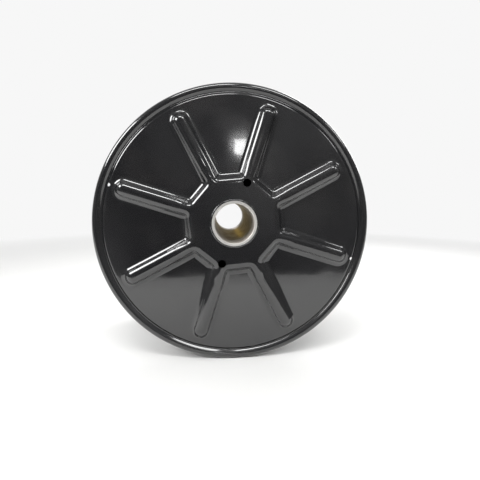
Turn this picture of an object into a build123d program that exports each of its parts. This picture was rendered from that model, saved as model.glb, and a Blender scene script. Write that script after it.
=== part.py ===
from build123d import *
from math import cos, hypot, radians, sin, tan
import os

# Pressed steel wire reel: two ribbed flanges, a rolled barrel and a bore tube, welded together.
# Millimetres. The reel lies with its axis along Y, +Z is up, the origin is mid axis.

# Overall sizes
flange_diameter = 500
width_over_hubs = 270
sheet = 2.5

# Raised hub and ribs of a flange, plan sizes taken at the web's outer face
hub_height = 12
hub_across_flats = 176
rib_count = 8
rib_height = 10.8
rib_width = 33
rib_tip_radius = 218
rib_tip_corner = 15.8
hub_rib_corner = 10
draft = 41
rib_clocking = 72.7

# Slope from the hub's level down to the ribs' level, as radii from the axis
slope_start = 92
slope_end = 114

# Bend radii of the pressing, on its outer face
top_bend = 12.5
foot_bend = 11.5

# Rolled rim: the web dips into a groove, then rises and curls back over into a bead
bead_diameter = 15
bead_proud = 1.5
bead_slope = 46
bead_lead = 5.5
bead_wrap = 285
groove_slope = 37
groove_bend = 2.5
shoulder_bend = 5

# Holes of a flange
drive_hole_diameter = 14.5
drive_hole_pitch = 150
wire_hole_diameter = 6
wire_hole_pitch = 458

# Bore tube and its welds
tube_diameter = 80
bore_diameter = 70
tube_proud = 3
bore_chamfer = 1
hub_hole_clearance = 0.2
weld_leg = 4
weld_height = 2.2
weld_bulge = 0.6
weld_clearance = 0.05

# Barrel
barrel_diameter = 250
barrel_wall = 3

# Places worked out from the sizes above
hub_face = width_over_hubs / 2
web_face = hub_face - hub_height
web_back = web_face - sheet
tube_end = hub_face + tube_proud
tube_radius = tube_diameter / 2
inner_shrink = sheet * tan(radians(45 - draft / 2))
cut_margin = 10
clock = radians(rib_clocking)

# A flange is drawn flat, with its web's outer face at Z = 0 and outward upward,
# and the first rib along X, then set upright on this plane
front_seat = Plane(
    origin=(0, -web_face, 0),
    x_dir=(cos(clock), 0, sin(clock)),
    z_dir=(0, -1, 0),
)


def axis_distance(point):
    return hypot(point.X, point.Y)


def is_slope_ring(edge):
    # The slope begins and ends on circles round the axis
    return edge.geom_type == GeomType.CIRCLE and axis_distance(edge.arc_center) < 1


def pressed_form(shrink, drop, bend):
    # Solid under the pressed hub and ribs; shrunk and dropped by the sheet it gives their inside
    base = -drop
    top = hub_height - drop
    rib_top = rib_height - drop
    reach = rib_tip_radius - shrink
    with BuildPart() as form:
        with BuildSketch(Plane.XY.offset(base)):
            RegularPolygon(hub_across_flats / 2 - shrink, rib_count, major_radius=False)
        extrude(amount=hub_height, taper=draft)

        with BuildSketch(Plane.XY.offset(base)) as rib_plan:
            with Locations((reach / 2, 0)):
                Rectangle(reach, rib_width - 2 * shrink)
            fillet(rib_plan.vertices().sort_by(Axis.X)[-2:], rib_tip_corner - shrink)
        rib = extrude(amount=hub_height, taper=draft, mode=Mode.PRIVATE)
        with PolarLocations(0, rib_count):
            add(rib)

        # The slope is a ring of two tangent arcs, turned away above the ribs
        with BuildSketch(Plane.XZ):
            with BuildLine():
                middle = ((slope_start + slope_end) / 2, (top + rib_top) / 2)
                crest = TangentArc((slope_start, top), middle, tangent=(1, 0))
                dip = TangentArc(crest @ 1, (slope_end, rib_top), tangent=crest % 1)
                Polyline(
                    dip @ 1,
                    (reach + cut_margin, rib_top),
                    (reach + cut_margin, top + cut_margin),
                    (slope_start, top + cut_margin),
                    crest @ 0,
                )
            make_face()
        revolve(axis=Axis.Z, mode=Mode.SUBTRACT)

        # Round the corners between hub and ribs, then the whole top outline
        hub_corners = [
            edge
            for edge in form.edges()
            if edge.bounding_box().size.Z > hub_height / 2
            and axis_distance(edge.center()) < slope_start
        ]
        fillet(hub_corners, hub_rib_corner + shrink)
        top_outline = [
            edge
            for edge in form.edges()
            if edge.bounding_box().min.Z > rib_top - 0.01 and not is_slope_ring(edge)
        ]
        fillet(top_outline, bend)
    return form.part


def foot_outline(part, level):
    # Edges at the foot of the hub and ribs, on the face of the web at this level
    near_hub = hub_across_flats / 3
    return [
        edge
        for edge in part.edges()
        if abs(edge.bounding_box().min.Z - level) < 0.01
        and abs(edge.bounding_box().max.Z - level) < 0.01
        and near_hub < axis_distance(edge.center()) < rib_tip_radius + 1
        and not is_slope_ring(edge)
    ]


outer_form = pressed_form(0, 0, top_bend)
inner_form = pressed_form(inner_shrink, sheet, top_bend - sheet)

# Flange: the web and its rolled rim are one turned section of sheet, then hub and ribs are pressed
with BuildPart() as flange:
    with BuildSketch(Plane.XZ):
        with BuildLine():
            curl_radius = (bead_diameter - sheet) / 2
            web_middle = -sheet / 2
            bead_centre = ((flange_diameter - bead_diameter) / 2, bead_proud - bead_diameter / 2)
            curl = CenterArc(bead_centre, curl_radius, 90 + bead_slope, -bead_wrap)
            groove_foot = curl @ 0 - curl % 0 * bead_lead
            fall = (web_middle - groove_foot.Y) / tan(radians(groove_slope))
            FilletPolyline(
                (tube_radius, web_middle),
                (groove_foot.X - fall, web_middle),
                groove_foot,
                curl @ 0,
                radius=(shoulder_bend - sheet / 2, groove_bend + sheet / 2),
            )
        trace(line_width=sheet)
    revolve(axis=Axis.Z)
    add(outer_form)
    add(inner_form, mode=Mode.SUBTRACT)
    fillet(foot_outline(flange, 0), foot_bend)
    fillet(foot_outline(flange, -sheet), foot_bend + sheet)

    # Hole for the bore tube, two drive holes at the ends of a rib line, two wire holes across it
    with Locations((0, 0, hub_height)):
        Hole(tube_radius + hub_hole_clearance)
        with PolarLocations(drive_hole_pitch / 2, 2):
            Hole(drive_hole_diameter / 2)
        with PolarLocations(wire_hole_pitch / 2, 2, start_angle=90):
            Hole(wire_hole_diameter / 2)

with BuildPart() as front_flange:
    add(flange.part.moved(front_seat.location))
front_flange.part.label = "front_flange"

with BuildPart() as rear_flange:
    mirror(front_flange.part, about=Plane.XZ)
rear_flange.part.label = "rear_flange"

# Bore tube, through both hubs, its mouths eased
with BuildPart() as bore_tube:
    with BuildSketch(Plane.XZ):
        Circle(tube_radius)
        Circle(bore_diameter / 2, mode=Mode.SUBTRACT)
    extrude(amount=tube_end, both=True)
    mouths = bore_tube.edges().filter_by(GeomType.CIRCLE).group_by(SortBy.RADIUS)[0]
    chamfer(mouths, bore_chamfer)
bore_tube.part.label = "bore_tube"

# Barrel, standing on the backs of both webs
with BuildPart() as barrel:
    with BuildSketch(Plane.XZ):
        Circle(barrel_diameter / 2)
        Circle(barrel_diameter / 2 - barrel_wall, mode=Mode.SUBTRACT)
    extrude(amount=web_back, both=True)
barrel.part.label = "barrel"

# Weld bead round the tube on the front hub, and its twin at the rear
with BuildPart() as front_hub_weld:
    with BuildSketch(Plane.XY):
        with BuildLine():
            weld_root = tube_radius + weld_clearance
            toe = (tube_radius + weld_leg, -hub_face)
            crown = (weld_root, -hub_face - weld_height)
            SagittaArc(toe, crown, weld_bulge)
            Polyline(crown, (weld_root, -hub_face), toe)
        make_face()
    revolve(axis=Axis.Y)
front_hub_weld.part.label = "front_hub_weld"

with BuildPart() as rear_hub_weld:
    mirror(front_hub_weld.part, about=Plane.XZ)
rear_hub_weld.part.label = "rear_hub_weld"

os.makedirs("parts", exist_ok=True)
export_step(front_flange.part, "parts/front_flange.step")
export_step(rear_flange.part, "parts/rear_flange.step")
export_step(bore_tube.part, "parts/bore_tube.step")
export_step(barrel.part, "parts/barrel.step")
export_step(front_hub_weld.part, "parts/front_hub_weld.step")
export_step(rear_hub_weld.part, "parts/rear_hub_weld.step")
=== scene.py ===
import math

import bmesh
import bpy
from mathutils import Matrix, Vector


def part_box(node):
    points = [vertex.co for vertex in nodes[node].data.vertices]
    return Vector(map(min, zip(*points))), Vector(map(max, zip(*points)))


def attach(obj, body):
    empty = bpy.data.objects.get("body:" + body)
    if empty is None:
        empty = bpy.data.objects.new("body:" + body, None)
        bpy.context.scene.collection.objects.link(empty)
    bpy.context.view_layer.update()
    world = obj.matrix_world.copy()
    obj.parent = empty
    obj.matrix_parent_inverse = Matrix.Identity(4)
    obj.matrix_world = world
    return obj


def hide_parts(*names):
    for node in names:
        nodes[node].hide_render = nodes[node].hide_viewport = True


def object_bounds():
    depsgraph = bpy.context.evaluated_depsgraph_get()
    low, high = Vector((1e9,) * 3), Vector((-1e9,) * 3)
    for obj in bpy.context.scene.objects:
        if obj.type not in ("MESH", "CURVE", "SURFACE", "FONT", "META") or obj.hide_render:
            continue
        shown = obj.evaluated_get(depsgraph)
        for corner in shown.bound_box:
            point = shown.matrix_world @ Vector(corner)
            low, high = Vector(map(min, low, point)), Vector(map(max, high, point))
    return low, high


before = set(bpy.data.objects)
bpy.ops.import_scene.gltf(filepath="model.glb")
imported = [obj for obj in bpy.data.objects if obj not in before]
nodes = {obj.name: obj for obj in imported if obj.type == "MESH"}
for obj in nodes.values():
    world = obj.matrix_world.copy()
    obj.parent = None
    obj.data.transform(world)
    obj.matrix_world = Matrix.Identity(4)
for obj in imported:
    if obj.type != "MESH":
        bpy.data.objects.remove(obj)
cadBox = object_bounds()
scene = bpy.context.scene
print("frame loaded:", ", ".join(sorted(nodes)))

# Measures of the reel that the pieces below share; turns run from +X towards +Z
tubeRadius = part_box("bore_tube")[1].x
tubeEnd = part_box("bore_tube")[1].y
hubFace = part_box("rear_flange")[1].y
flangeLow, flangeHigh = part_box("front_flange")
flangeRadius = min(-flangeLow.x, flangeHigh.x, -flangeLow.z, flangeHigh.z)
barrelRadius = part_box("barrel")[1].x
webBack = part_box("barrel")[1].y
ribCount = 8
ribPitchDeg = 360 / ribCount
ribClockingDeg = 72.7
reelSides = ((-1, "front"), (1, "rear"))
joinDistance = 0.000001  # corners closer than this become one


# Camera, close to the front flange and a little left of and above its axis
cameraSetup = {
    "place": (-0.0292, -0.6612, 0.0421),
    "panDeg": -4.22,
    "tiltDeg": -2.75,
    "lensMm": 22.5,
    "sensorMm": 36.0,
    "shiftY": -0.0542,
    "clipStart": 0.01,
}


def makeCamera(setup):
    data = bpy.data.cameras.new("camera")
    data.lens = setup["lensMm"]
    data.sensor_width = setup["sensorMm"]
    data.shift_y = setup["shiftY"]
    data.clip_start = setup["clipStart"]
    camera = bpy.data.objects.new("camera", data)
    camera.location = setup["place"]
    tilt = math.radians(90 + setup["tiltDeg"])
    camera.rotation_euler = (tilt, 0, math.radians(setup["panDeg"]))
    scene.collection.objects.link(camera)
    scene.camera = camera


makeCamera(cameraSetup)
print("camera set")


# Small helpers for node trees
def addNode(tree, kind, **values):
    node = tree.nodes.new(kind)
    for key, value in values.items():
        setattr(node, key, value)
    return node


def feed(tree, socket, value):
    # A socket takes another socket's value, a colour or a number
    if isinstance(value, bpy.types.NodeSocket):
        tree.links.new(value, socket)
    elif socket.type == "RGBA":
        socket.default_value = (*value, 1)
    else:
        socket.default_value = value


def mathOn(tree, operation, first, second=None, clamp=False):
    node = addNode(tree, "ShaderNodeMath", operation=operation, use_clamp=clamp)
    feed(tree, node.inputs[0], first)
    if second is not None:
        feed(tree, node.inputs[1], second)
    return node.outputs[0]


def noiseOn(tree, place, scale, detail, roughness=0.5, dimensions="3D"):
    noise = addNode(tree, "ShaderNodeTexNoise", noise_dimensions=dimensions)
    feed(tree, noise.inputs["W" if dimensions == "1D" else "Vector"], place)
    feed(tree, noise.inputs["Scale"], scale)
    feed(tree, noise.inputs["Detail"], detail)
    feed(tree, noise.inputs["Roughness"], roughness)
    return noise.outputs["Fac"]


def spread(tree, value, given, wanted):
    # Maps one range of values to another, and holds the ends
    ramp = addNode(tree, "ShaderNodeMapRange")
    feed(tree, ramp.inputs["Value"], value)
    for label, limit in zip(("From Min", "From Max", "To Min", "To Max"), (*given, *wanted)):
        feed(tree, ramp.inputs[label], limit)
    return ramp.outputs["Result"]


mixSockets = {"FLOAT": (2, 3, 0), "RGBA": (6, 7, 2)}  # indices of first, second and result


def mixOn(tree, factor, first, second, kind="RGBA"):
    mix = addNode(tree, "ShaderNodeMix", data_type=kind)
    firstIndex, secondIndex, resultIndex = mixSockets[kind]
    feed(tree, mix.inputs[0], factor)
    feed(tree, mix.inputs[firstIndex], first)
    feed(tree, mix.inputs[secondIndex], second)
    return mix.outputs[resultIndex]


def bumpChain(tree, layers):
    # Each layer is (height socket, strength, distance in metres)
    normal = None
    for height, strength, distance in layers:
        bump = addNode(tree, "ShaderNodeBump")
        feed(tree, bump.inputs["Height"], height)
        feed(tree, bump.inputs["Strength"], strength)
        feed(tree, bump.inputs["Distance"], distance)
        if normal:
            feed(tree, bump.inputs["Normal"], normal)
        normal = bump.outputs["Normal"]
    return normal


def axesOf(tree, place):
    parts = addNode(tree, "ShaderNodeSeparateXYZ")
    feed(tree, parts.inputs[0], place)
    return parts.outputs


def seenBy(tree, glossShare):
    # 1 for the camera and through glass, and the given share in reflections
    paths = addNode(tree, "ShaderNodeLightPath").outputs
    seen = mathOn(tree, "MULTIPLY", paths["Is Glossy Ray"], glossShare)
    for ray in ("Is Camera Ray", "Is Transmission Ray"):
        seen = mathOn(tree, "MAXIMUM", seen, paths[ray])
    return seen


def newMaterial(name):
    material = bpy.data.materials.new(name)
    material.use_nodes = True
    return material, material.node_tree, material.node_tree.nodes["Principled BSDF"]


def giveFinish(mesh, material):
    mesh.materials.clear()
    mesh.materials.append(material)


# Gloss black enamel on the pressed sheet; noises are (scale, detail, roughness)
enamel = {
    "black": (0.010, 0.010, 0.011),
    "dust": (0.040, 0.038, 0.036),
    "film": (9.0, 5.0, 0.6),
    "dustRange": (0.48, 0.78),
    "dustShare": (0.0, 0.35),
    "glossRange": (0.35, 0.75),
    "roughness": (0.07, 0.20),
    "specular": 0.8,
    "coat": 0.6,
    "coatRoughness": 0.04,
    "peel": (260.0, 1.0),
    "peelDepth": 0.000001,
    "wave": (14.0, 2.5, 0.35),
    "waveDepth": 0.0006,
}


def makeEnamel(name, setup, waves):
    # Dust and dull places follow one film; slow waves of the sheet and fine peel bend the gloss
    material, tree, shader = newMaterial(name)
    place = addNode(tree, "ShaderNodeTexCoord").outputs["Object"]
    film = noiseOn(tree, place, *setup["film"])
    dust = spread(tree, film, setup["dustRange"], setup["dustShare"])
    feed(tree, shader.inputs["Base Color"], mixOn(tree, dust, setup["black"], setup["dust"]))
    gloss = spread(tree, film, setup["glossRange"], setup["roughness"])
    feed(tree, shader.inputs["Roughness"], gloss)
    feed(tree, shader.inputs["Specular IOR Level"], setup["specular"])
    feed(tree, shader.inputs["Coat Weight"], setup["coat"])
    feed(tree, shader.inputs["Coat Roughness"], setup["coatRoughness"])
    peel = noiseOn(tree, place, *setup["peel"])
    wave = noiseOn(tree, place, *setup["wave"])
    normal = bumpChain(tree, [(wave, waves, setup["waveDepth"]), (peel, 1.0, setup["peelDepth"])])
    feed(tree, shader.inputs["Normal"], normal)
    feed(tree, shader.inputs["Coat Normal"], normal)
    return material


blackEnamel = makeEnamel("blackEnamel", enamel, waves=1.0)
for nodeName in ("front_flange", "rear_flange", "barrel"):
    giveFinish(nodes[nodeName].data, blackEnamel)
print("enamel made")


# Bare machined steel of the bore tube; noises are (scale, detail, roughness)
bareSteel = {
    "face": (0.80, 0.78, 0.75),
    "faceRoughness": 0.50,
    "faceDepths": (0.0012, 0.0004),  # below the tube's end, where the wall gives way to the face
    "wall": (0.15, 0.122, 0.080),
    "wallEdge": (0.46, 0.39, 0.27),
    "wallRoughness": (0.26, 0.48),
    "rust": (0.085, 0.056, 0.032),
    "stains": (60.0, 6.0, 0.65),
    "stainRange": (0.52, 0.70),
    "stainShare": (0.0, 0.6),
    "roughRange": (0.3, 0.7),
    "rings": (75.0, 2.0),
    "ringRange": (0.42, 0.62),
    "ringShare": (0.0, 0.45),
    # painted light: the lighter colour inside each mouth stands in for light falling into the bore,
    # the deeper wall stays darker
    "paintedMouthLight": (0.50, 0.465, 0.42),
    "mouthZoneDepth": 0.058,
    "paintedLightShare": (0.0, 0.85),
    "mouthZoneMetal": (1.0, 0.25),
    "grain": (700.0, 3.0),
    "grainStrength": 0.5,
    "grainDepth": 0.00003,
}


def makeSteel(name, setup):
    # The bore's wall is stained and ringed by turning, and duller inside each mouth, where its colour
    # is painted lighter: painted light falling into the mouth, with the deeper wall left darker in
    # painted shade
    material, tree, shader = newMaterial(name)
    place = addNode(tree, "ShaderNodeTexCoord").outputs["Object"]
    depth = mathOn(tree, "ABSOLUTE", axesOf(tree, place)["Y"])
    faceZone = [tubeEnd - faceDepth for faceDepth in setup["faceDepths"]]
    inside = spread(tree, depth, faceZone, (1.0, 0.0))
    # Painted light: a mask that is strongest at each mouth and fades to nothing deeper in, where shade
    # falls
    mouthZone = (tubeEnd - setup["mouthZoneDepth"], tubeEnd)
    paintedMouthLight = spread(tree, depth, mouthZone, setup["paintedLightShare"])
    stains = noiseOn(tree, place, *setup["stains"])
    patches = spread(tree, stains, setup["stainRange"], setup["stainShare"])
    turning = noiseOn(tree, depth, *setup["rings"], dimensions="1D")
    rings = spread(tree, turning, setup["ringRange"], setup["ringShare"])

    wall = mixOn(tree, patches, setup["wall"], setup["rust"])
    wall = mixOn(tree, rings, wall, setup["rust"])
    # Painted light: the wall's colour is mixed towards a lighter one near each mouth
    wall = mixOn(tree, paintedMouthLight, wall, setup["paintedMouthLight"])
    feed(tree, shader.inputs["Base Color"], mixOn(tree, inside, setup["face"], wall))
    wallEdge = mixOn(tree, paintedMouthLight, setup["wallEdge"], setup["face"])
    feed(tree, shader.inputs["Specular Tint"], mixOn(tree, inside, (1.0, 1.0, 1.0), wallEdge))
    wallMetal = spread(tree, depth, mouthZone, setup["mouthZoneMetal"])
    feed(tree, shader.inputs["Metallic"], mixOn(tree, inside, 1.0, wallMetal, "FLOAT"))
    wallRough = spread(tree, stains, setup["roughRange"], setup["wallRoughness"])
    rough = mixOn(tree, inside, setup["faceRoughness"], wallRough, "FLOAT")
    feed(tree, shader.inputs["Roughness"], rough)
    grain = noiseOn(tree, place, *setup["grain"])
    normal = bumpChain(tree, [(grain, setup["grainStrength"], setup["grainDepth"])])
    feed(tree, shader.inputs["Normal"], normal)
    return material


giveFinish(nodes["bore_tube"].data, makeSteel("tubeSteel", bareSteel))
print("steel made")


# Small helpers for pieces
def facingOut(side, level, turnDeg):
    # Turns a flat piece's Z axis to the reel's outward axis on that side, -1 for the front
    upright = Matrix.Rotation(math.radians(90), 4, "X")
    if side > 0:
        upright = Matrix.Scale(-1, 4, (0, 1, 0)) @ upright
    turned = Matrix.Rotation(math.radians(turnDeg), 4, "Z")
    return Matrix.Translation((0, side * level, 0)) @ upright @ turned


def addObject(name, data):
    piece = bpy.data.objects.new(name, data)
    scene.collection.objects.link(piece)
    return piece


def setInputs(modifier, tree, values):
    modifier.node_group = tree
    for item in tree.interface.items_tree:
        if item.item_type == "SOCKET" and item.in_out == "INPUT" and item.name in values:
            modifier[item.identifier] = values[item.name]


def plainMesh(holder, name):
    # The evaluated shape as a mesh of its own; the holder goes, and its modifiers with it
    evaluated = holder.evaluated_get(bpy.context.evaluated_depsgraph_get())
    mesh = bpy.data.meshes.new_from_object(evaluated)
    bpy.data.objects.remove(holder)
    mesh.name = name
    return mesh


def joinCorners(mesh, turnOut):
    # Corners in one place become one, and a closed shape's faces can be turned outwards
    shape = bmesh.new()
    shape.from_mesh(mesh)
    bmesh.ops.remove_doubles(shape, verts=shape.verts, dist=joinDistance)
    if turnOut:
        bmesh.ops.recalc_face_normals(shape, faces=shape.faces)
    shape.to_mesh(mesh)
    shape.free()


# Rolled rims: the section of the source, turned more finely than the CAD mesh
rim = {
    "sheet": 0.0025,
    "beadDiameter": 0.015,
    "beadProud": 0.0015,
    "beadSlopeDeg": 46,
    "beadLead": 0.0055,
    "beadWrapDeg": 285,
    "grooveSlopeDeg": 37,
    "grooveBend": 0.0025,
    "shoulderBend": 0.005,
    "shoulderSteps": 6,
    "grooveSteps": 10,
    "curlSteps": 36,
    "turns": 256,
    "sharpDeg": 30,
    "cutRadius": 0.2246,  # the CAD flange is kept inside it, and the turned rim starts there
    "cutDepth": 0.08,
    "wireHoleRadius": 0.003,
    "wireHoleReach": 0.229,
    "wireHoleTurnsDeg": (90, 270),  # from the first rib
    "pinLength": 0.02,
    "pinSides": 40,
}


def bendPoints(start, headingIn, headingOut, radius, steps):
    # Points along a bend, each with its heading
    side = 1 if headingOut > headingIn else -1
    centre = start + side * radius * Vector((-math.sin(headingIn), math.cos(headingIn)))
    points = []
    for step in range(steps + 1):
        heading = headingIn + (headingOut - headingIn) * step / steps
        arm = side * radius * Vector((math.sin(heading), -math.cos(heading)))
        points.append((centre + arm, heading))
    return points


def rimSection(setup):
    # Closed outline of the sheet from the web to the end of the curl, outer face of the web at zero
    half = setup["sheet"] / 2
    beadRadius = setup["beadDiameter"] / 2
    curlRadius = beadRadius - half
    shoulderRadius = setup["shoulderBend"] - half
    grooveRadius = setup["grooveBend"] + half
    rise = math.radians(setup["beadSlopeDeg"])
    fall = math.radians(setup["grooveSlopeDeg"])
    wrap = math.radians(setup["beadWrapDeg"])
    centre = Vector((flangeRadius - beadRadius, setup["beadProud"] - beadRadius))
    curlStart = centre + curlRadius * Vector((-math.sin(rise), math.cos(rise)))
    foot = curlStart - setup["beadLead"] * Vector((math.cos(rise), math.sin(rise)))
    corner = Vector((foot.x - (-half - foot.y) / math.tan(fall), -half))
    shoulderStart = corner - Vector((shoulderRadius * math.tan(fall / 2), 0))
    grooveLead = grooveRadius * math.tan((fall + rise) / 2)
    grooveStart = foot - grooveLead * Vector((math.cos(fall), -math.sin(fall)))
    middle = [(Vector((setup["cutRadius"], -half)), 0.0)]
    middle += bendPoints(shoulderStart, 0.0, -fall, shoulderRadius, setup["shoulderSteps"])
    middle += bendPoints(grooveStart, -fall, rise, grooveRadius, setup["grooveSteps"])
    middle += bendPoints(curlStart, rise, rise - wrap, curlRadius, setup["curlSteps"])[1:]
    outer = [point + half * Vector((-math.sin(turn), math.cos(turn))) for point, turn in middle]
    inner = [point - half * Vector((-math.sin(turn), math.cos(turn))) for point, turn in middle]
    return outer + inner[::-1]


def makeTurnTree(name):
    # Sweeps the incoming section round a circle of the given radius
    tree = bpy.data.node_groups.new(name, "GeometryNodeTree")
    sockets = tree.interface
    join = tree.links.new
    sockets.new_socket("Geometry", in_out="OUTPUT", socket_type="NodeSocketGeometry")
    sockets.new_socket("Section", in_out="INPUT", socket_type="NodeSocketGeometry")
    sockets.new_socket("Path Radius", in_out="INPUT", socket_type="NodeSocketFloat")
    sockets.new_socket("Turns", in_out="INPUT", socket_type="NodeSocketInt")
    sockets.new_socket("Finish", in_out="INPUT", socket_type="NodeSocketMaterial")
    given = addNode(tree, "NodeGroupInput").outputs
    circle = addNode(tree, "GeometryNodeCurvePrimitiveCircle")
    join(given["Path Radius"], circle.inputs["Radius"])
    join(given["Turns"], circle.inputs["Resolution"])
    upright = addNode(tree, "GeometryNodeSetCurveNormal", mode="Z_UP")
    join(circle.outputs["Curve"], upright.inputs["Curve"])
    turned = addNode(tree, "GeometryNodeCurveToMesh")
    join(upright.outputs["Curve"], turned.inputs["Curve"])
    join(given["Section"], turned.inputs["Profile Curve"])
    real = addNode(tree, "GeometryNodeRealizeInstances")
    join(turned.outputs["Mesh"], real.inputs[0])
    finish = addNode(tree, "GeometryNodeSetMaterial")
    join(real.outputs[0], finish.inputs["Geometry"])
    join(given["Finish"], finish.inputs["Material"])
    join(finish.outputs[0], addNode(tree, "NodeGroupOutput").inputs[0])
    return tree


def makePin(name, place, radius, length, segments):
    # Cutting tool: a round pin along the reel's axis
    shape = bmesh.new()
    turn = Matrix.Translation(place) @ Matrix.Rotation(math.radians(90), 4, "X")
    sizes = {"radius1": radius, "radius2": radius, "depth": length}
    bmesh.ops.create_cone(shape, cap_ends=True, segments=segments, matrix=turn, **sizes)
    mesh = bpy.data.meshes.new(name)
    shape.to_mesh(mesh)
    shape.free()
    return addObject(name, mesh)


def cutWith(piece, tool, operation):
    cut = piece.modifiers.new("cut", "BOOLEAN")
    cut.operation = operation
    cut.solver = "EXACT"
    cut.object = tool


def makeRim(name, side, setup, tree, material):
    section = bpy.data.curves.new(name + "Section", "CURVE")
    section.dimensions = "3D"
    line = section.splines.new("POLY")
    outline = rimSection(setup)
    line.points.add(len(outline) - 1)
    for point, (x, y) in zip(line.points, outline):
        point.co = (x - flangeRadius, -y, 0, 1)  # the sweep lays the section's Y downwards
    line.use_cyclic_u = True
    holder = addObject(name + "Holder", section)
    modifier = holder.modifiers.new("turn", "NODES")
    values = {"Path Radius": flangeRadius, "Turns": setup["turns"], "Finish": material}
    setInputs(modifier, tree, values)
    mesh = plainMesh(holder, name)
    mesh.transform(facingOut(side, webBack + setup["sheet"], 0))
    joinCorners(mesh, turnOut=True)
    piece = addObject(name, mesh)

    # Two wire holes across the line of the first rib
    pins = []
    reach = setup["wireHoleReach"]
    sizes = (setup["wireHoleRadius"], setup["pinLength"], setup["pinSides"])
    for turnDeg in setup["wireHoleTurnsDeg"]:
        angle = math.radians(ribClockingDeg + turnDeg)
        place = (reach * math.cos(angle), side * webBack, reach * math.sin(angle))
        pins.append(makePin(name + "Pin", place, *sizes))
        cutWith(piece, pins[-1], "DIFFERENCE")
    mesh = plainMesh(piece, name)
    for pin in pins:
        bpy.data.objects.remove(pin)
    mesh.shade_smooth()
    mesh.set_sharp_from_angle(angle=math.radians(setup["sharpDeg"]))
    return mesh


def makeWeb(name, node, side, setup, material):
    # Hub, ribs and web of the CAD flange inside the cut circle; its normals ride along the cut
    mesh = node.data.copy()
    kept = mesh.attributes.new("keptNormal", "FLOAT_VECTOR", "CORNER")
    for place, corner in zip(kept.data, mesh.corner_normals):
        place.vector = corner.vector
    joinCorners(mesh, turnOut=False)
    piece = addObject(name, mesh)
    sizes = (setup["cutRadius"], setup["cutDepth"], setup["turns"])
    disc = makePin(name + "Disc", (0, side * hubFace, 0), *sizes)
    cutWith(piece, disc, "INTERSECT")
    mesh = plainMesh(piece, name)
    bpy.data.objects.remove(disc)
    kept = mesh.attributes["keptNormal"]
    mesh.shade_smooth()
    mesh.normals_split_custom_set([place.vector.copy() for place in kept.data])
    mesh.attributes.remove(mesh.attributes["keptNormal"])
    giveFinish(mesh, material)
    return mesh


def makeFlange(side, sideName, setup, tree, material):
    node = nodes[sideName + "_flange"]
    web = addObject(sideName + "Flange", makeWeb(sideName + "Flange", node, side, setup, material))
    ring = addObject(sideName + "Rim", makeRim(sideName + "Rim", side, setup, tree, material))
    with bpy.context.temp_override(active_object=web, selected_editable_objects=[web, ring]):
        bpy.ops.object.join()
    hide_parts(node.name)
    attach(web, "root")


turnTree = makeTurnTree("turnedRim")
for side, sideName in reelSides:
    makeFlange(side, sideName, rim, turnTree, blackEnamel)
print("rims turned")


# Painted weld beads: an oval bead with ripples, swept along its path, its hidden half inside the steel
weldKinds = {
    "hubWeld": {
        "Path Radius": tubeRadius,
        "Sweep": math.radians(372),
        "Samples": 1000,
        "Half Width": 0.0039,
        "Half Height": 0.0021,
        "Ripple Spacing": 0.0030,
        "Ripple Depth": 0.006,
        "Unevenness": 0.40,
        "End Share": 0.012,
        "Copies": 1,
        "Seed": 3,
    },
    "barrelWeld": {
        "Path Radius": barrelRadius,
        "Sweep": math.radians(22),
        "Samples": 110,
        "Half Width": 0.0026,
        "Half Height": 0.0022,
        "Ripple Spacing": 0.0024,
        "Ripple Depth": 0.03,
        "Unevenness": 0.45,
        "End Share": 0.07,
        "Copies": ribCount,
        "Seed": 11,
    },
    "seamWeld": {
        "Path Length": 2 * webBack,
        "Samples": 480,
        "Half Width": 0.0026,
        "Half Height": 0.0007,
        "Ripple Spacing": 0.0022,
        "Ripple Depth": 0.05,
        "Unevenness": 0.30,
        "End Share": 0.01,
        "Copies": 1,
        "Seed": 7,
    },
}

# What all beads share, and where each kind lies round the axis
weldBuild = {
    "driftPerMetre": 90.0,
    "driftDetail": 2.0,
    "driftMiddle": 0.8,
    "endThickness": 0.08,
    "ovalSides": 14,
    "hubTurnDeg": -60,
    "stitchTurnDeg": ribClockingDeg + ribPitchDeg / 2,
    "seamTurnDeg": -38,
}


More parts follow.
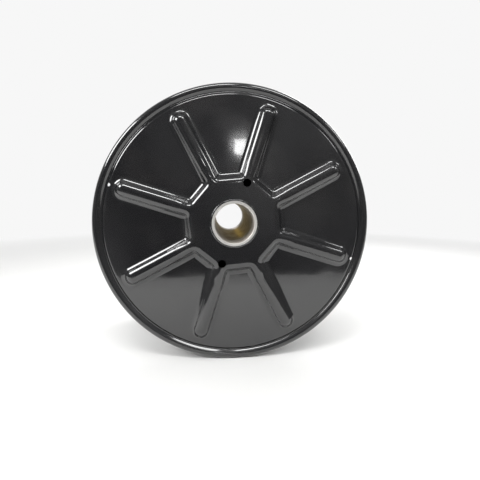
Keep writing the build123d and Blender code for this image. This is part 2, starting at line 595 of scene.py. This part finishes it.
def makeWeldTree(name, setup, straight):
    tree = bpy.data.node_groups.new(name, "GeometryNodeTree")
    tree.interface.new_socket("Bead", in_out="OUTPUT", socket_type="NodeSocketGeometry")
    kinds = {"Samples": "NodeSocketInt", "Copies": "NodeSocketInt", "Finish": "NodeSocketMaterial"}
    labels = ["Path Length"] if straight else ["Path Radius", "Sweep"]
    labels += ["Samples", "Half Width", "Half Height", "Ripple Spacing", "Ripple Depth", "Unevenness"]
    for label in labels + ["End Share", "Copies", "Seed", "Finish"]:
        kind = kinds.get(label, "NodeSocketFloat")
        tree.interface.new_socket(label, in_out="INPUT", socket_type=kind)
    given = addNode(tree, "NodeGroupInput").outputs
    join = tree.links.new

    # The path lies in the tree's own XY plane
    if straight:
        line = addNode(tree, "GeometryNodeCurvePrimitiveLine", mode="DIRECTION")
        line.inputs["Direction"].default_value = (1, 0, 0)
        join(given["Path Length"], line.inputs["Length"])
        path = addNode(tree, "GeometryNodeResampleCurve")
        join(line.outputs[0], path.inputs["Curve"])
        join(given["Samples"], path.inputs["Count"])
    else:
        path = addNode(tree, "GeometryNodeCurveArc", mode="RADIUS")
        join(given["Path Radius"], path.inputs["Radius"])
        join(given["Sweep"], path.inputs["Sweep Angle"])
        join(given["Samples"], path.inputs["Resolution"])
        join(mathOn(tree, "MULTIPLY", given["Sweep"], -0.5), path.inputs["Start Angle"])
    upright = addNode(tree, "GeometryNodeSetCurveNormal", mode="Z_UP")
    join(path.outputs[0], upright.inputs["Curve"])

    # Thickness along the path: ripples, slow unevenness and rounded ends
    along = addNode(tree, "GeometryNodeSplineParameter").outputs
    turns = mathOn(tree, "DIVIDE", along["Length"], given["Ripple Spacing"])
    wave = mathOn(tree, "SINE", mathOn(tree, "MULTIPLY", turns, 2 * math.pi))
    dips = mathOn(tree, "MULTIPLY", mathOn(tree, "ADD", wave, 1.0), given["Ripple Depth"])
    stretch = mathOn(tree, "MULTIPLY", along["Length"], setup["driftPerMetre"])
    place = mathOn(tree, "ADD", stretch, given["Seed"])
    drift = noiseOn(tree, place, 1.0, setup["driftDetail"], dimensions="1D")
    lean = mathOn(tree, "SUBTRACT", drift, setup["driftMiddle"])
    swell = mathOn(tree, "MULTIPLY", lean, given["Unevenness"])
    body = mathOn(tree, "SUBTRACT", mathOn(tree, "ADD", swell, 1.0), dips)
    nearEnd = mathOn(tree, "MINIMUM", along["Factor"], mathOn(tree, "SUBTRACT", 1.0, along["Factor"]))
    ends = mathOn(tree, "POWER", mathOn(tree, "DIVIDE", nearEnd, given["End Share"], clamp=True), 0.5)
    scale = mathOn(tree, "MULTIPLY", body, mathOn(tree, "MAXIMUM", ends, setup["endThickness"]))

    # Oval section, swept, repeated round the axis and made one plain mesh
    oval = addNode(tree, "GeometryNodeCurvePrimitiveCircle")
    oval.inputs["Resolution"].default_value = setup["ovalSides"]
    oval.inputs["Radius"].default_value = 1.0  # widened to the bead's own half width and height
    size = addNode(tree, "ShaderNodeCombineXYZ")
    join(given["Half Width"], size.inputs["X"])
    join(given["Half Height"], size.inputs["Y"])
    size.inputs["Z"].default_value = 1.0
    section = addNode(tree, "GeometryNodeTransform")
    join(oval.outputs["Curve"], section.inputs["Geometry"])
    join(size.outputs[0], section.inputs["Scale"])
    sweep = addNode(tree, "GeometryNodeCurveToMesh")
    join(upright.outputs["Curve"], sweep.inputs["Curve"])
    join(section.outputs["Geometry"], sweep.inputs["Profile Curve"])
    join(scale, sweep.inputs["Scale"])
    sweep.inputs["Fill Caps"].default_value = True
    seats = addNode(tree, "GeometryNodePoints")
    join(given["Copies"], seats.inputs["Count"])
    index = addNode(tree, "GeometryNodeInputIndex").outputs[0]
    share = mathOn(tree, "DIVIDE", index, given["Copies"])
    turn = addNode(tree, "ShaderNodeCombineXYZ")
    join(mathOn(tree, "MULTIPLY", share, 2 * math.pi), turn.inputs["Z"])
    facing = addNode(tree, "FunctionNodeEulerToRotation")
    join(turn.outputs[0], facing.inputs[0])
    copies = addNode(tree, "GeometryNodeInstanceOnPoints")
    join(seats.outputs[0], copies.inputs["Points"])
    join(sweep.outputs["Mesh"], copies.inputs["Instance"])
    join(facing.outputs[0], copies.inputs["Rotation"])
    real = addNode(tree, "GeometryNodeRealizeInstances")
    join(copies.outputs[0], real.inputs[0])
    smooth = addNode(tree, "GeometryNodeSetShadeSmooth")
    join(real.outputs[0], smooth.inputs["Geometry"])
    finish = addNode(tree, "GeometryNodeSetMaterial")
    join(smooth.outputs[0], finish.inputs["Geometry"])
    join(given["Finish"], finish.inputs["Material"])
    join(finish.outputs[0], addNode(tree, "NodeGroupOutput").inputs[0])
    return tree


def makeWeld(name, tree, values, place, material):
    holder = addObject(name + "Holder", bpy.data.meshes.new(name + "Holder"))
    modifier = holder.modifiers.new("bead", "NODES")
    setInputs(modifier, tree, dict(values, Finish=material))
    mesh = plainMesh(holder, name)
    mesh.transform(place)
    joinCorners(mesh, turnOut=True)
    weld = addObject(name, mesh)
    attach(weld, "root")
    return weld


weldEnamel = makeEnamel("weldEnamel", enamel, waves=0.0)
roundTree = makeWeldTree("roundWeld", weldBuild, straight=False)
straightTree = makeWeldTree("straightWeld", weldBuild, straight=True)
for side, sideName in reelSides:
    hubPlace = facingOut(side, hubFace, weldBuild["hubTurnDeg"])
    hubWeld = makeWeld(sideName + "HubWeld", roundTree, weldKinds["hubWeld"], hubPlace, weldEnamel)
    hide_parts(sideName + "_hub_weld")
    barrelPlace = facingOut(side, webBack, weldBuild["stitchTurnDeg"])
    makeWeld(sideName + "BarrelWelds", roundTree, weldKinds["barrelWeld"], barrelPlace, weldEnamel)

# The seam's path runs along the barrel, with its height outwards
seamTurn = Matrix.Rotation(math.radians(-weldBuild["seamTurnDeg"]), 4, "Y")
seamLie = Matrix(((0, 0, 1, 0), (1, 0, 0, 0), (0, 1, 0, 0), (0, 0, 0, 1)))
seamPlace = seamTurn @ Matrix.Translation((barrelRadius, -webBack, 0)) @ seamLie
makeWeld("barrelSeam", straightTree, weldKinds["seamWeld"], seamPlace, weldEnamel)
print("welds laid")


# Paper floor that curves up into a backdrop behind the reel; its front edge shows in the enamel
stage = {
    "frontEdge": -0.73,
    "backEdge": 2.2,
    "halfWidth": 6.0,
    "bendRadius": 0.8,
    "bendSteps": 16,
    "wallTop": 3.0,
    "paper": (0.82, 0.82, 0.81),
    "paperRoughness": 0.8,
    "paperSpecular": 0.2,
    "glow": (0.93, 0.93, 0.93),
    "glowReach": (0.9, 2.3),  # distances from the reel between which the glow comes in
    "edgeFade": 0.16,
    "cloud": (1.1, 1.0),
    "cloudRange": (0.44, 0.56),
    "glossShare": (0.08, 0.9),
}


def makePaper(name, setup):
    # Far from the reel the paper shows plain pale to the camera, and in soft patches in reflections
    material, tree, shader = newMaterial(name)
    feed(tree, shader.inputs["Base Color"], setup["paper"])
    feed(tree, shader.inputs["Roughness"], setup["paperRoughness"])
    feed(tree, shader.inputs["Specular IOR Level"], setup["paperSpecular"])
    glow = addNode(tree, "ShaderNodeEmission")
    feed(tree, glow.inputs["Color"], setup["glow"])
    place = addNode(tree, "ShaderNodeTexCoord").outputs["Object"]
    cloud = noiseOn(tree, place, *setup["cloud"])
    seen = seenBy(tree, spread(tree, cloud, setup["cloudRange"], setup["glossShare"]))
    reach = addNode(tree, "ShaderNodeVectorMath", operation="LENGTH")
    feed(tree, reach.inputs[0], place)
    far = spread(tree, reach.outputs["Value"], setup["glowReach"], (0.0, 1.0))
    edgeZone = (setup["frontEdge"] + setup["edgeFade"], setup["frontEdge"])
    edge = spread(tree, axesOf(tree, place)["Y"], edgeZone, (0.0, 1.0))
    far = mathOn(tree, "MAXIMUM", far, edge)
    blend = addNode(tree, "ShaderNodeMixShader")
    feed(tree, blend.inputs[0], mathOn(tree, "MULTIPLY", seen, far))
    feed(tree, blend.inputs[1], shader.outputs[0])
    feed(tree, blend.inputs[2], glow.outputs[0])
    feed(tree, tree.nodes["Material Output"].inputs["Surface"], blend.outputs[0])
    return material


def makeStage(setup):
    floorLevel = cadBox[0][2]
    outline = [(setup["frontEdge"], floorLevel)]
    for step in range(setup["bendSteps"] + 1):
        turn = math.radians(90 * step / setup["bendSteps"])
        y = setup["backEdge"] + setup["bendRadius"] * math.sin(turn)
        z = floorLevel + setup["bendRadius"] * (1 - math.cos(turn))
        outline.append((y, z))
    outline.append((setup["backEdge"] + setup["bendRadius"], setup["wallTop"]))
    shape = bmesh.new()
    rows = []
    for y, z in outline:
        rows.append([shape.verts.new((x, y, z)) for x in (-setup["halfWidth"], setup["halfWidth"])])
    for near, far in zip(rows, rows[1:]):
        shape.faces.new((near[0], near[1], far[1], far[0]))
    mesh = bpy.data.meshes.new("studioFloor")
    shape.to_mesh(mesh)
    shape.free()
    mesh.shade_smooth()
    giveFinish(mesh, makePaper("palePaper", setup))
    floor = addObject("studioFloor", mesh)


makeStage(stage)


# Soft lamps that face the reel; "along" is the direction of the first size
lamps = {
    "keyLamp": {  # the paired highlights on the ribs
        "place": (-1.03, -0.72, 0.70),
        "along": (-0.64, 0.0, -0.77),
        "size": (0.50, 0.60),
        "watts": 12,
    },
    "windowLamp": {  # the small bright patch on the web
        "place": (0.20, -2.67, 0.60),
        "along": (1.0, 0.0, 0.0),
        "size": (0.115, 0.155),
        "watts": 1.0,
    },
    "topLamp": {  # the rim's top
        "place": (-0.28, -1.05, 1.46),
        "along": (1.0, 0.0, 0.0),
        "size": (0.75, 0.30),
        "watts": 10,
    },
    "highLamp": {  # the ribs' tips
        "place": (0.52, -1.08, 1.29),
        "along": (1.0, 0.0, 0.0),
        "size": (0.5, 0.4),
        "watts": 6,
    },
    "fillLamp": {  # the side away from the key lamp
        "place": (1.5, -0.9, 1.1),
        "along": (0.0, 0.0, 1.0),
        "size": (0.4, 0.35),
        "watts": 4,
    },
    "rearWindowLamp": {  # this one and the next are the rear flange's window and key
        "place": (-0.35, 2.30, 0.70),
        "along": (1.0, 0.0, 0.0),
        "size": (0.22, 0.26),
        "watts": 2.2,
    },
    "rearKeyLamp": {
        "place": (0.95, 0.95, 0.85),
        "along": (0.64, 0.0, -0.77),
        "size": (1.2, 0.40),
        "watts": 10,
    },
    "ceilingLamp": {  # lights the floor, and is left out of reflections
        "place": (0.0, 0.4, 2.0),
        "along": (1.0, 0.0, 0.0),
        "size": (2.0, 2.0),
        "watts": 32,
        "inGloss": False,
    },
}


def makeLamp(name, setup):
    data = bpy.data.lights.new(name, "AREA")
    data.shape = "RECTANGLE"
    data.size, data.size_y = setup["size"]
    data.energy = setup["watts"]
    lamp = addObject(name, data)
    lamp.location = setup["place"]
    outward = Vector(setup["place"]).normalized()
    short = outward.cross(Vector(setup["along"])).normalized()
    turn = Matrix((short.cross(outward), short, outward)).transposed()
    lamp.rotation_euler = turn.to_euler()
    lamp.visible_glossy = setup.get("inGloss", True)
    lamp.visible_camera = False


for name, setup in lamps.items():
    makeLamp(name, setup)


# Room round the stage: pale for the camera and behind the reel, dimmer and uneven elsewhere
room = {
    "pale": (0.93, 0.93, 0.93),
    "low": (0.15, 0.15, 0.15),
    "level": (0.19, 0.19, 0.19),
    "levelStop": 0.55,
    "high": (0.38, 0.38, 0.38),
    "patch": (2.2, 2.0),
    "patchRange": (0.35, 0.65),
    "patchShare": (0.35, 1.5),
    "behindRange": (0.0, 0.4),  # of the direction's Y
}


def makeRoom(setup):
    world = bpy.data.worlds.new("room")
    world.use_nodes = True
    tree = world.node_tree
    direction = addNode(tree, "ShaderNodeTexCoord").outputs["Generated"]
    axes = axesOf(tree, direction)
    height = addNode(tree, "ShaderNodeValToRGB")
    stops = height.color_ramp.elements
    stops[0].color = (*setup["low"], 1)
    stops[1].color = (*setup["high"], 1)
    stops.new(setup["levelStop"]).color = (*setup["level"], 1)
    feed(tree, height.inputs[0], spread(tree, axes["Z"], (-1.0, 1.0), (0.0, 1.0)))
    cloud = noiseOn(tree, direction, *setup["patch"])
    uneven = addNode(tree, "ShaderNodeVectorMath", operation="SCALE")
    feed(tree, uneven.inputs[0], height.outputs["Color"])
    feed(tree, uneven.inputs["Scale"], spread(tree, cloud, setup["patchRange"], setup["patchShare"]))
    seen = seenBy(tree, spread(tree, axes["Y"], setup["behindRange"], (0.0, 1.0)))
    colour = mixOn(tree, seen, uneven.outputs[0], setup["pale"])
    feed(tree, tree.nodes["Background"].inputs["Color"], colour)
    scene.world = world


makeRoom(room)
scene.view_settings.view_transform = "Standard"
print("stage, lamps and room set")
